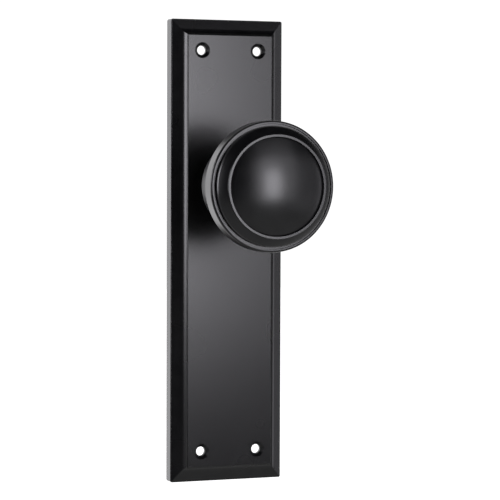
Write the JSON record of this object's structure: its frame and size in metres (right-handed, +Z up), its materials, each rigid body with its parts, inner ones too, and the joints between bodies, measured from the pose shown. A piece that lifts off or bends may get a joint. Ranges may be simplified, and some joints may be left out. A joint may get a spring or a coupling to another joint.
{
  "type": "door knob",
  "caption": "Round sprung door knob on a long bevelled backplate with countersunk screw holes, a return-spring cassette and a square spindle.",
  "frame": {"origin": "where the spindle's axis meets the door face, which is the plane of the plate's back rim", "axes": "+Z up along the plate, +Y into the door along the spindle, +X to the right seen from the front; the knob faces -Y"},
  "size_m": [0.0542, 0.1152, 0.2],
  "materials": {
    "plate_coat": "satin black powder coat",
    "knob_coat": "satin black powder coat, slightly polished by handling",
    "bush_plastic": "natural acetal",
    "zinc_steel": "zinc-plated pressed steel",
    "screw_steel": "bright zinc-plated screws",
    "black_steel": "black oxide steel",
    "spring_steel": "drawn spring wire",
    "spindle_steel": "cold-drawn bar, zinc plated"
  },
  "bodies": {
    "plate": {"backplate": "plate_coat", "collar": "knob_coat", "bearing_bush": "bush_plastic", "neck_washer": "bush_plastic", "spring_housing": "zinc_steel", "spring_cover": "zinc_steel", "anchor_peg": "zinc_steel", "stop_pins": "zinc_steel", "cassette_screws": "screw_steel", "return_spring": "spring_steel"},
    "knob": {"knob_face": "knob_coat", "knob_back": "knob_coat", "shank": "knob_coat", "spindle": "spindle_steel", "grub_screw": "black_steel", "drive_cam": "zinc_steel", "thrust_washer": "bush_plastic", "disc_spring": "spring_steel", "circlip": "black_steel", "head_washer": "zinc_steel", "head_nut": "zinc_steel"}
  },
  "joints": [
    {"name": "knob_turn", "type": "hinge", "parent": "plate", "child": "knob", "pos_m": [0, 0, 0], "axis": [0, 1, 0], "range_deg": [-55, 55], "stiffness_Nm_per_rad": 0.3, "deforming": ["return_spring"]}
  ]
}
